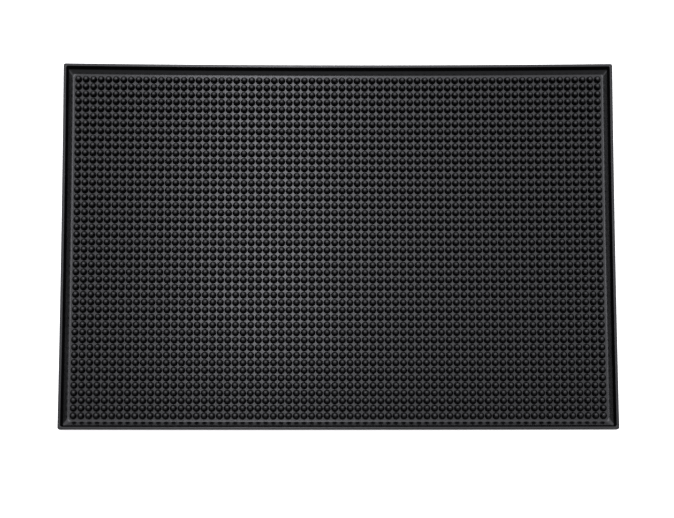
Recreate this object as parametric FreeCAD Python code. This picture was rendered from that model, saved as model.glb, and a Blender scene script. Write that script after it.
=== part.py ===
"""Bar service mat: a black rubber drip mat, moulded in one piece.

A flat web carries a square grid of round nubs that glasses stand on, and a raised rim
holds the spilled liquid in. The mat is one moulding, so each node is one of its zones:
a row of nubs with the strip of web under it, or one side of the rim with its gutter.
The zones meet face to face.

Frame: millimetres, +Z up, origin at the middle of the underside, +X along the length,
+Y towards the back edge.
"""
import FreeCAD, Part
import math
import os

# ---- driving dimensions (mm) ----
LENGTH = 450.0            # outside, along X
DEPTH = 300.0             # outside, along Y
HEIGHT = 10.0             # underside to the top of the rim
WEB = 2.0                 # thickness of the web between the nubs

COLUMNS = 70              # nubs in a row, along X
ROWS = 46                 # rows of nubs, along Y
FIELD_INSET = 11.5        # outside edge to the centres of the outermost nubs

NUB_RISE = 5.3            # web to the top of a nub
NUB_BASE_R = 2.75         # radius where a nub meets the web
NUB_SHOULDER_R = 1.85     # radius where its straight side ends
NUB_CROWN_R = 0.6         # radius of the small flat in the middle of its round crown
NUB_SHOULDER_RISE = 4.8   # web to the end of the straight side

RIM_TOP = 2.3             # width of the rim's top
RIM_EDGE_R = 0.5          # rounding of the rim's two top edges
RIM_WALL_FOOT = 2.9       # outside edge to the foot of the steep inner wall
RIM_FOOT = 6.9            # outside edge to the foot of the slope, where the gutter starts
RIM_SLOPE = 28.0          # degrees of the slope between the inner wall and the gutter
RIM_HOLLOW_R = 2.0        # hollow between the inner wall and the slope
CORNER_R = 1.6            # rounding of the mat's four upright corners

# ---- derived dimensions ----
PITCH_X = (LENGTH - 2 * FIELD_INSET) / (COLUMNS - 1)
PITCH_Y = (DEPTH - 2 * FIELD_INSET) / (ROWS - 1)
BAND_X = FIELD_INSET - PITCH_X / 2      # rim and gutter zone, at the left and right
BAND_Y = FIELD_INSET - PITCH_Y / 2      # rim and gutter zone, at the front and back


def point(x, y, z=0.0):
    return FreeCAD.Vector(x, y, z)


def arc_through(start, middle, end):
    return Part.Arc(start, middle, end).toShape()


def crown_centre_height(r_low, z_low, r_high, z_high):
    """Height on the nub's axis that is as far from the shoulder as from the edge of the flat."""
    return (r_high**2 + z_high**2 - r_low**2 - z_low**2) / (2 * (z_high - z_low))


def nub_profile():
    """Half section of a nub in the XZ plane: a leaning side, then a ball-shaped crown."""
    centre_z = crown_centre_height(NUB_SHOULDER_R, NUB_SHOULDER_RISE, NUB_CROWN_R, NUB_RISE)
    centre = point(0, 0, centre_z)
    shoulder = point(NUB_SHOULDER_R, 0, NUB_SHOULDER_RISE)
    crown = point(NUB_CROWN_R, 0, NUB_RISE)
    outwards = (shoulder + crown) * 0.5 - centre
    halfway = centre + outwards.normalize() * (shoulder - centre).Length
    axis_foot, axis_top = point(0, 0, -WEB / 2), point(0, 0, NUB_RISE)
    buried = point(NUB_BASE_R, 0, -WEB / 2)
    base = point(NUB_BASE_R, 0, 0)
    edges = [
        Part.makeLine(axis_foot, buried),
        Part.makeLine(buried, base),
        Part.makeLine(base, shoulder),
        arc_through(shoulder, halfway, crown),
        Part.makeLine(crown, axis_top),
        Part.makeLine(axis_top, axis_foot),
    ]
    return Part.Face(Part.Wire(edges))


def nub():
    """One nub standing on z = 0, with a root that reaches halfway down into the web."""
    return nub_profile().revolve(point(0, 0, 0), point(0, 0, 1), 360)


def nub_row():
    """A strip of web, one pitch deep, with its row of nubs, centred on x = 0 and y = 0."""
    strip_length = LENGTH - 2 * BAND_X
    strip = Part.makeBox(strip_length, PITCH_Y, WEB, point(-strip_length / 2, -PITCH_Y / 2, 0))
    first_x = -(COLUMNS - 1) * PITCH_X / 2
    one = nub()
    nubs = [one.translated(point(first_x + i * PITCH_X, 0, WEB)) for i in range(COLUMNS)]
    return strip.fuse(nubs)


def round_corner(before, corner, after, radius):
    """Start, middle and end of the arc that rounds a corner between two straight stretches."""
    towards_before = (before - corner).normalize()
    towards_after = (after - corner).normalize()
    half_angle = towards_before.getAngle(towards_after) / 2
    inwards = (towards_before + towards_after).normalize()
    centre = corner + inwards * (radius / math.sin(half_angle))
    reach = radius / math.tan(half_angle)
    return corner + towards_before * reach, centre - inwards * radius, corner + towards_after * reach


def rim_profile(band):
    """Section of a side of the rim: y runs inwards from the outside edge, z runs up."""
    slope_rise = (RIM_FOOT - RIM_WALL_FOOT) * math.tan(math.radians(RIM_SLOPE))
    outer_low, inner_low = point(0, 0, 0), point(0, band, 0)
    outer_high, inner_high = point(0, 0, HEIGHT), point(0, RIM_TOP, HEIGHT)
    wall_foot = point(0, RIM_WALL_FOOT, WEB + slope_rise)
    slope_foot = point(0, RIM_FOOT, WEB)
    gutter_end = point(0, band, WEB)
    outer_edge = round_corner(outer_low, outer_high, inner_high, RIM_EDGE_R)
    inner_edge = round_corner(outer_high, inner_high, wall_foot, RIM_EDGE_R)
    hollow = round_corner(inner_high, wall_foot, slope_foot, RIM_HOLLOW_R)
    edges = [
        Part.makeLine(inner_low, outer_low),
        Part.makeLine(outer_low, outer_edge[0]),
        arc_through(*outer_edge),
        Part.makeLine(outer_edge[2], inner_edge[0]),
        arc_through(*inner_edge),
        Part.makeLine(inner_edge[2], hollow[0]),
        arc_through(*hollow),
        Part.makeLine(hollow[2], slope_foot),
        Part.makeLine(slope_foot, gutter_end),
        Part.makeLine(gutter_end, inner_low),
    ]
    return Part.Face(Part.Wire(edges))


def rim_side(length, band, end_band):
    """One side of the rim with its gutter, along X, outside edge on y = 0, mitred at both ends."""
    bar = rim_profile(band).extrude(point(length, 0, 0)).translated(point(-length / 2, 0, 0))
    half = length / 2
    corners = [
        point(-half, 0),
        point(half, 0),
        point(half - end_band, band),
        point(-half + end_band, band),
    ]
    plan = Part.Face(Part.makePolygon(corners + corners[:1])).extrude(point(0, 0, HEIGHT))
    return bar.common(plan)


def outline():
    """The mat's rounded plan, as a block of full height."""
    block = Part.makeBox(LENGTH, DEPTH, HEIGHT, point(-LENGTH / 2, -DEPTH / 2, 0))
    upright = [edge for edge in block.Edges if abs(edge.BoundBox.ZLength - HEIGHT) < 0.001]
    return block.makeFillet(CORNER_R, upright)


def turned(shape, angle, x, y):
    """The shape turned about the Z axis and then moved."""
    placed = shape.copy()
    placed.rotate(point(0, 0, 0), point(0, 0, 1), angle)
    placed.translate(point(x, y))
    return placed


def build():
    nodes = {}
    block = outline()
    long_side = rim_side(LENGTH, BAND_Y, BAND_X)
    short_side = rim_side(DEPTH, BAND_X, BAND_Y)
    nodes["rim_front"] = turned(long_side, 0, 0, -DEPTH / 2).common(block)
    nodes["rim_back"] = turned(long_side, 180, 0, DEPTH / 2).common(block)
    nodes["rim_left"] = turned(short_side, -90, -LENGTH / 2, 0).common(block)
    nodes["rim_right"] = turned(short_side, 90, LENGTH / 2, 0).common(block)

    row = nub_row()
    first_y = -(ROWS - 1) * PITCH_Y / 2
    for number in range(ROWS):
        nodes[f"nub_row_{number + 1:02d}"] = row.translated(point(0, first_y + number * PITCH_Y))
    return nodes


def main():
    os.makedirs("parts", exist_ok=True)
    for name, shape in build().items():
        solid = shape.Solids[0]
        solid.exportStep(f"parts/{name}.step")
        box = solid.BoundBox
        print(f"{name}: {len(shape.Solids)} solid, {solid.Volume:.1f} mm3, "
              f"{box.XLength:.2f} x {box.YLength:.2f} x {box.ZLength:.2f} mm")


main()
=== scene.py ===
"""A black rubber bar service mat: the visual model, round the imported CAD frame.

Metres, +Z up, the same frame as the CAD. The mat is one moulding, so its body (web, rim and
underside) is one continuous piece, and the nubs stand on it in blocks of whole rows.
"""
import math

import bpy
import numpy as np
from mathutils import Matrix, Vector


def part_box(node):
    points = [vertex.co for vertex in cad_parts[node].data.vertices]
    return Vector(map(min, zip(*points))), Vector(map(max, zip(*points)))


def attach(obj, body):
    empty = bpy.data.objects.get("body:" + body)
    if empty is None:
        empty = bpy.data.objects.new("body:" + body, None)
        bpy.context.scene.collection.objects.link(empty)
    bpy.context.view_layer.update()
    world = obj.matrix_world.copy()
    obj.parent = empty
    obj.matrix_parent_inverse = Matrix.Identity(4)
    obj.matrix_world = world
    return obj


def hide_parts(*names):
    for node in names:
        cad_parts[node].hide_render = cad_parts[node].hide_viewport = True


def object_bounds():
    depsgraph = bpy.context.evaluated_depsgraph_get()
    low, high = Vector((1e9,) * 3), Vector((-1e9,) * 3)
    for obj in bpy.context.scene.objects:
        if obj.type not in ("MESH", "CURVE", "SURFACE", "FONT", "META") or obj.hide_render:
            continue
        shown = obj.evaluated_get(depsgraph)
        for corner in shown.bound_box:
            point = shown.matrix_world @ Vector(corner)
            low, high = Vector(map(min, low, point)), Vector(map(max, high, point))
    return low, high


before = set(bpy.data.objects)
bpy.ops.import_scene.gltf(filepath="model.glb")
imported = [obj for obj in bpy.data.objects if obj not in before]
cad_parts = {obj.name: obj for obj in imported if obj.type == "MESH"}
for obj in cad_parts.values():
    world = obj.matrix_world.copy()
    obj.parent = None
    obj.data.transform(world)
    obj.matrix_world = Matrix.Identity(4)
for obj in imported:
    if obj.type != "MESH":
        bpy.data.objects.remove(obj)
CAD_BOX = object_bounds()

MM = 0.001

# ---- places that the frame gives ----
ROW_NODES = sorted(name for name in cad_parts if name.startswith("nub_row_"))
RIM_NODES = sorted(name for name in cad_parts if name.startswith("rim_"))
FIRST_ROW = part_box(ROW_NODES[0])
HALF_X, HALF_Y, HEIGHT = CAD_BOX[1]
COLUMNS = 70
PITCH_X = (FIRST_ROW[1].x - FIRST_ROW[0].x) / COLUMNS
PITCH_Y = FIRST_ROW[1].y - FIRST_ROW[0].y
NUB_TOP = FIRST_ROW[1].z

# ---- sizes of the moulding, the same as the CAD's but where it says otherwise ----
WEB = 2.0 * MM
RIM_TOP = 2.3 * MM
RIM_EDGE_R = 0.5 * MM
RIM_WALL_FOOT = 2.9 * MM
RIM_FOOT = 6.9 * MM
RIM_SLOPE = 28.0              # degrees
RIM_HOLLOW_R = 2.0 * MM
RIM_SLOPE_FOOT_R = 3.0 * MM   # soft end of the slope, at the gutter
CORNER_R = 1.6 * MM
UNDER_EDGE_R = 0.3 * MM       # rounding of the lower outside edge
INNER_CORNER_R = 3.0 * MM     # upright inside corner, at the rim's foot
CORNER_PINCH = 0.35 * RIM_TOP   # how much tighter the upright corner is halfway there

NUB_BASE_R = 2.7 * MM         # 0.05 mm less than the CAD's
NUB_SHOULDER_R = 1.85 * MM
NUB_SHOULDER_RISE = 4.8 * MM
NUB_CROWN_R = 0.6 * MM
NUB_EDGE = 0.4 * MM           # rounding of a crown's edge
NUB_ROOT_R = 0.3 * MM         # hollow where a nub meets the web
NUB_BURIED = 0.25 * MM        # how far a nub's closed root goes into the web
NUB_SIDES = 24
ROWS_PER_BLOCK = 5

# ---- the mat is soft and lies a little drawn in between its corners ----
BACK_DRAW = 1.4 * MM
FRONT_DRAW = 0.2 * MM
SIDE_DRAW = 0.5 * MM
NUB_JITTER = 0.03 * MM        # largest shift of a nub's foot, each way
NUB_LEAN = 0.012              # largest sideways lean, per unit of height
SEED = 11


def arc(centre, radius, start, end, steps):
    """Points (across, up) of an arc in a section, angles in degrees."""
    angles = np.radians(np.linspace(start, end, steps + 1))
    return [(centre[0] + radius * math.cos(a), centre[1] + radius * math.sin(a)) for a in angles]


def round_corner(before, corner, after, radius, steps):
    """Points of the arc that rounds a corner between two straight stretches of a section."""
    before, corner, after = Vector(before), Vector(corner), Vector(after)
    to_before, to_after = (before - corner).normalized(), (after - corner).normalized()
    half_angle = to_before.angle(to_after) / 2
    centre = corner + (to_before + to_after).normalized() * radius / math.sin(half_angle)
    reach = radius / math.tan(half_angle)
    start, end = corner + to_before * reach - centre, corner + to_after * reach - centre
    turn = start.angle_signed(end)
    points = []
    for step in range(steps + 1):
        angle = math.atan2(start.y, start.x) - turn * step / steps
        points.append((centre.x + radius * math.cos(angle), centre.y + radius * math.sin(angle)))
    return points


def draw_in(points):
    """The slight, soft pull of the edges towards the middle, for an array of points."""
    across = 1 - np.clip(points[:, 0] / HALF_X, -1, 1) ** 2
    along = 1 - np.clip(points[:, 1] / HALF_Y, -1, 1) ** 2
    back_share = (points[:, 1] / HALF_Y + 1) / 2
    moved = points.copy()
    moved[:, 1] -= across * (FRONT_DRAW + (BACK_DRAW - FRONT_DRAW) * back_share)
    moved[:, 0] -= along * SIDE_DRAW * points[:, 0] / HALF_X
    return moved


def mesh_object(name, points, faces, flat_faces=()):
    """A mesh piece from points and faces. It is smooth, but for the faces numbered in flat_faces."""
    mesh = bpy.data.meshes.new(name)
    mesh.from_pydata([tuple(p) for p in points], [], [tuple(f) for f in faces])
    smooth = np.ones(len(mesh.polygons), bool)
    smooth[list(flat_faces)] = False
    mesh.polygons.foreach_set("use_smooth", smooth)
    mesh.update()
    piece = bpy.data.objects.new(name, mesh)
    bpy.context.scene.collection.objects.link(piece)
    normals = piece.modifiers.new("normals", "WEIGHTED_NORMAL")
    normals.mode = "FACE_AREA"
    normals.keep_sharp = True
    return piece


# ---------------------------------------------------------------- body: web, rim and underside

def rim_section():
    """The rim's section as (inset, height): from the web, over the rim, to the underside.

    An inset is measured inwards from the outside edge.
    """
    slope_rise = (RIM_FOOT - RIM_WALL_FOOT) * math.tan(math.radians(RIM_SLOPE))
    gutter, foot = (HALF_Y, WEB), (RIM_FOOT, WEB)
    wall_foot = (RIM_WALL_FOOT, WEB + slope_rise)
    top_in, top_out, under = (RIM_TOP, HEIGHT), (0, HEIGHT), (0, 0)
    section = round_corner(gutter, foot, wall_foot, RIM_SLOPE_FOOT_R, steps=6)
    section += round_corner(foot, wall_foot, top_in, RIM_HOLLOW_R, steps=6)
    section += round_corner(wall_foot, top_in, top_out, RIM_EDGE_R, steps=5)
    section += round_corner(top_in, top_out, under, RIM_EDGE_R, steps=5)
    section += round_corner(top_out, under, gutter, UNDER_EDGE_R, steps=3)
    return section


def rounded_loop(inset, corner_r, corner_steps=6, side_steps=24):
    """Points (x, y) round a rectangle with rounded corners, anticlockwise from the left front."""
    reach_x, reach_y = HALF_X - inset - corner_r, HALF_Y - inset - corner_r
    corners = []
    for sign_x, sign_y, start in ((-1, -1, 180), (1, -1, 270), (1, 1, 0), (-1, 1, 90)):
        centre = (sign_x * reach_x, sign_y * reach_y)
        corners.append(arc(centre, corner_r, start, start + 90, corner_steps))
    loop = []
    for corner, following in zip(corners, corners[1:] + corners[:1]):
        loop += corner
        last, after = corner[-1], following[0]
        for step in range(1, side_steps):
            t = step / side_steps
            loop.append((last[0] + (after[0] - last[0]) * t, last[1] + (after[1] - last[1]) * t))
    return loop


def corner_radius(inset):
    """Upright corner radius at an inset: tight outside, softer at the rim's foot."""
    share = min(inset / RIM_FOOT, 1)
    return CORNER_R + (INNER_CORNER_R - CORNER_R) * share - CORNER_PINCH * math.sin(math.pi * share)


def make_body():
    section = rim_section()
    points = []
    for inset, height in section:
        points += [(x, y, height) for x, y in rounded_loop(inset, corner_radius(inset))]
    count = len(points) // len(section)
    faces = []
    for ring in range(len(section) - 1):
        for i in range(count):
            j = (i + 1) % count
            low, high = ring * count, (ring + 1) * count
            faces.append((low + j, low + i, high + i, high + j))
    faces.append(list(range(count)))                                  # top of the web
    last = (len(section) - 1) * count
    faces.append([last + i for i in reversed(range(count))])          # underside
    body = mesh_object("mat_body", draw_in(np.array(points)), faces, (len(faces) - 2, len(faces) - 1))
    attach(body, "root")
    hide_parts(*RIM_NODES)
    return body


# ---------------------------------------------------------------- nubs

def nub_section():
    """Half section of a nub as (radius, height above the web), from its buried root to its crown."""
    rise = NUB_TOP - WEB
    # the crown is part of a ball, centred on the nub's axis
    shoulder = Vector((NUB_SHOULDER_R, NUB_SHOULDER_RISE))
    height = (NUB_CROWN_R**2 + rise**2 - shoulder.length_squared) / (2 * (rise - shoulder.y))
    radius = (shoulder - Vector((0, height))).length
    start = math.degrees(math.atan2(shoulder.y - height, shoulder.x))
    end = math.degrees(math.atan2(rise - height, NUB_CROWN_R))
    crown = arc((0, height), radius, start, end, steps=3)
    section = [(NUB_BASE_R + NUB_ROOT_R, -NUB_BURIED)]
    section += arc((NUB_BASE_R + NUB_ROOT_R, NUB_ROOT_R), NUB_ROOT_R, 270, 180, steps=2)
    section += round_corner((NUB_BASE_R, 0), shoulder, crown[1], NUB_EDGE, steps=3) + crown[1:]
    return section


def nub_mesh():
    """Points and faces of one closed nub, standing on the web at the origin."""
    section = nub_section()
    turns = np.linspace(0, 2 * math.pi, NUB_SIDES, endpoint=False)
    points = [(r * math.cos(a), r * math.sin(a), WEB + z) for r, z in section for a in turns]
    faces = []
    for ring in range(len(section) - 1):
        for i in range(NUB_SIDES):
            j = (i + 1) % NUB_SIDES
            low, high = ring * NUB_SIDES, (ring + 1) * NUB_SIDES
            faces.append((low + i, low + j, high + j, high + i))
    root, crown = len(points), len(points) + 1
    points += [(0, 0, WEB + section[0][1]), (0, 0, NUB_TOP)]
    top = (len(section) - 1) * NUB_SIDES
    for i in range(NUB_SIDES):
        j = (i + 1) % NUB_SIDES
        faces.append((j, i, root))
        faces.append((top + i, top + j, crown))
    return np.array(points), faces


def make_nub_block(rows, rng):
    """Several whole rows of nubs as one piece."""
    one, faces = nub_mesh()
    first_x = -(COLUMNS - 1) * PITCH_X / 2
    points, all_faces = [], []
    for node in rows:
        low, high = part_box(node)
        for column in range(COLUMNS):
            foot = np.array([[first_x + column * PITCH_X, (low.y + high.y) / 2, 0]])
            placed = one.copy()
            above = placed[:, 2] - WEB
            for axis in (0, 1):
                shift = rng.uniform(-1, 1) * NUB_JITTER
                placed[:, axis] += shift + above * rng.uniform(-NUB_LEAN, NUB_LEAN)
            start = len(points) * len(one)
            points.append(placed + draw_in(foot))
            all_faces += [tuple(start + v for v in face) for face in faces]
    name = f"nubs_{rows[0][-2:]}_to_{rows[-1][-2:]}"
    block = mesh_object(name, np.concatenate(points), all_faces)
    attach(block, "root")
    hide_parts(*rows)
    return block


# ---------------------------------------------------------------- materials

class Nodes:
    """A short way to write a material's node tree."""

    def __init__(self, name):
        self.material = bpy.data.materials.new(name)
        self.material.use_nodes = True
        self.tree = self.material.node_tree
        self.shader = self.tree.nodes["Principled BSDF"]

    def add(self, kind, inputs=None, **settings):
        node = self.tree.nodes.new(kind)
        for key, value in settings.items():
            setattr(node, key, value)
        for key, value in (inputs or {}).items():
            if isinstance(value, bpy.types.NodeSocket):
                self.tree.links.new(value, node.inputs[key])
            else:
                node.inputs[key].default_value = value
        return node

    def noise(self, where, scale, detail=3.0, roughness=0.5):
        node = self.add("ShaderNodeTexNoise", {"Vector": where, "Scale": scale, "Detail": detail,
                                               "Roughness": roughness})
        return node.outputs["Fac"]

    def spread(self, value, low, high, to_low=0.0, to_high=1.0):
        node = self.add("ShaderNodeMapRange", {"Value": value, "From Min": low, "From Max": high,
                                               "To Min": to_low, "To Max": to_high})
        return node.outputs["Result"]

    def mix_colour(self, factor, first, second):
        node = self.add("ShaderNodeMix", data_type="RGBA")
        for socket, value in ((0, factor), (6, first), (7, second)):
            if isinstance(value, bpy.types.NodeSocket):
                self.tree.links.new(value, node.inputs[socket])
            else:
                node.inputs[socket].default_value = value
        return node.outputs[2]


BLACK_DARK = (0.0015, 0.0015, 0.0018, 1)
BLACK_LIGHT = (0.0035, 0.0035, 0.0040, 1)
DUST = (0.05, 0.048, 0.045, 1)
BLOOM_SCALE, MOTTLE_SCALE, GRAIN_SCALE, DUST_SCALE = 28.0, 900.0, 5200.0, 150.0   # per metre
MOTTLE_SHARE = 0.35                     # how far the mottle lightens the black
DUST_CORE, DUST_EDGE = 0.012, 0.030     # radii of a speck, in cells
ROUGH_LOW, ROUGH_HIGH = 0.16, 0.24      # on flat and rounded faces
ROUGH_STEEP = 0.34                      # on steep faces, which the mould leaves duller
STEEP_FROM, STEEP_TO = 0.6, 0.3         # upward part of the normal, where a face turns steep
GRAIN_STRENGTH, GRAIN_DEPTH = 0.25, 0.06 * MM


def rubber_material():
    """Black moulded rubber: satin, with a fine mould grain, faint bloom and a few specks of dust."""
    nodes = Nodes("black_rubber")
    link, shader = nodes.tree.links.new, nodes.shader
    where = nodes.add("ShaderNodeTexCoord").outputs["Object"]
    bloom = nodes.spread(nodes.noise(where, BLOOM_SCALE, 4.0, 0.6), 0.35, 0.7)
    mottle = nodes.spread(nodes.noise(where, MOTTLE_SCALE), 0.3, 0.7)
    grain = nodes.noise(where, GRAIN_SCALE, 4.0, 0.65)

    black = nodes.mix_colour(bloom, BLACK_DARK, BLACK_LIGHT)
    flecked = nodes.mix_colour(nodes.spread(mottle, 0, 1, 0, MOTTLE_SHARE), black, BLACK_LIGHT)
    cells = nodes.add("ShaderNodeTexVoronoi", {"Vector": where, "Scale": DUST_SCALE})
    speck = nodes.spread(cells.outputs["Distance"], DUST_EDGE, DUST_CORE)
    link(nodes.mix_colour(speck, flecked, DUST), shader.inputs["Base Color"])

    patches = nodes.add("ShaderNodeMath", {0: bloom, 1: mottle}, operation="ADD").outputs[0]
    rough = nodes.spread(patches, 0, 2, ROUGH_LOW, ROUGH_HIGH)
    normal = nodes.add("ShaderNodeTexCoord").outputs["Normal"]
    upward = nodes.add("ShaderNodeSeparateXYZ", {0: normal}).outputs["Z"]
    steep = nodes.spread(upward, STEEP_FROM, STEEP_TO)
    all_rough = nodes.add("ShaderNodeMix", {"Factor": steep, "A": rough, "B": ROUGH_STEEP})
    link(all_rough.outputs[0], shader.inputs["Roughness"])

    bump = nodes.add("ShaderNodeBump", {"Height": grain, "Strength": GRAIN_STRENGTH,
                                        "Distance": GRAIN_DEPTH})
    link(bump.outputs["Normal"], shader.inputs["Normal"])
    shader.inputs["Specular IOR Level"].default_value = 0.5
    return nodes.material


def paper_material():
    """The white sheet that the mat lies on."""
    nodes = Nodes("white_paper")
    where = nodes.add("ShaderNodeTexCoord").outputs["Object"]
    tone = nodes.mix_colour(nodes.noise(where, 6.0), (0.93, 0.93, 0.93, 1), (0.96, 0.96, 0.96, 1))
    nodes.tree.links.new(tone, nodes.shader.inputs["Base Color"])
    nodes.shader.inputs["Roughness"].default_value = 0.8
    nodes.shader.inputs["Emission Color"].default_value = (1, 1, 1, 1)
    nodes.shader.inputs["Emission Strength"].default_value = 1.0
    return nodes.material


# ---------------------------------------------------------------- stage

CAMERA_TILT = 7.0             # degrees in front of straight above
CAMERA_TURN = -0.485          # degrees about the camera's own upright
CAMERA_DISTANCE = 1.5
CAMERA_AIM = Vector((-0.01393, -0.0555, 0.005))
CAMERA_LENS = 99.03           # mm, for a sensor 36 mm wide
CAMERA_SHIFT = 0.08


def make_camera():
    data = bpy.data.cameras.new("camera")
    data.lens, data.sensor_width = CAMERA_LENS, 36.0
    data.shift_y = CAMERA_SHIFT
    data.clip_start, data.clip_end = 0.05, 50.0
    camera = bpy.data.objects.new("camera", data)
    tilt = Matrix.Rotation(math.radians(CAMERA_TILT), 4, "X")
    turn = Matrix.Rotation(math.radians(CAMERA_TURN), 4, "Y")
    back = tilt @ Vector((0, 0, CAMERA_DISTANCE))
    camera.matrix_world = Matrix.Translation(CAMERA_AIM + back) @ tilt @ turn
    bpy.context.scene.collection.objects.link(camera)
    bpy.context.scene.camera = camera


LIGHT_COLOUR = (0.965, 0.97, 1.035)
ROOM_LIGHT = 0.08             # the dark part of the studio, as the mat sees it
LIGHTS = {                    # place, (width, depth), brightness: all shine straight down
    "overhead": ((0.0, 1.65, 2.0), (3.5, 3.5), 1.5),
    "fill": ((0.0, -1.05, 2.0), (3.5, 1.9), 0.4),
    "key": ((-0.13, 0.43, 1.9), (0.17, 0.74), 7.1),
    "glow": ((0.12, 0.46, 1.9), (0.3, 0.68), 1.0),
}


def make_lights():
    """A broad softbox towards the back, a dim one in front, and two narrow strips over the mat.

    A light's brightness is the radiance of its face.
    """
    for name, (place, (width, depth), brightness) in LIGHTS.items():
        data = bpy.data.lights.new(name, "AREA")
        data.shape, data.size, data.size_y = "RECTANGLE", width, depth
        data.energy = brightness * math.pi * width * depth
        data.color = LIGHT_COLOUR
        light = bpy.data.objects.new(name, data)
        light.location = place
        bpy.context.scene.collection.objects.link(light)


FLOOR_HALF = 12.0


def make_stage():
    """The white floor, and plain tones."""
    mesh = bpy.data.meshes.new("floor")
    corners = [(x * FLOOR_HALF, y * FLOOR_HALF, 0) for x, y in ((-1, -1), (1, -1), (1, 1), (-1, 1))]
    mesh.from_pydata(corners, [], [(0, 1, 2, 3)])
    mesh.materials.append(paper_material())
    floor = bpy.data.objects.new("floor", mesh)
    bpy.context.scene.collection.objects.link(floor)
    bpy.context.scene.view_settings.view_transform = "Standard"


def make_world():
    """A dark room round the lights, with a white wall behind the floor where the camera sees one."""
    world = bpy.data.worlds.new("studio")
    world.use_nodes = True
    tree = world.node_tree
    strength = tree.nodes.new("ShaderNodeMapRange")
    strength.inputs["To Min"].default_value = ROOM_LIGHT
    seen = tree.nodes.new("ShaderNodeLightPath").outputs["Is Camera Ray"]
    tree.links.new(seen, strength.inputs["Value"])
    tree.links.new(strength.outputs["Result"], tree.nodes["Background"].inputs["Strength"])
    tree.nodes["Background"].inputs["Color"].default_value = (1, 1, 1, 1)
    bpy.context.scene.world = world


def main():
    make_camera()
    make_stage()
    make_world()
    make_lights()
    rubber = rubber_material()
    rng = np.random.default_rng(SEED)
    pieces = [make_body()]
    for start in range(0, len(ROW_NODES), ROWS_PER_BLOCK):
        pieces.append(make_nub_block(ROW_NODES[start:start + ROWS_PER_BLOCK], rng))
    for piece in pieces:
        piece.data.materials.append(rubber)


main()
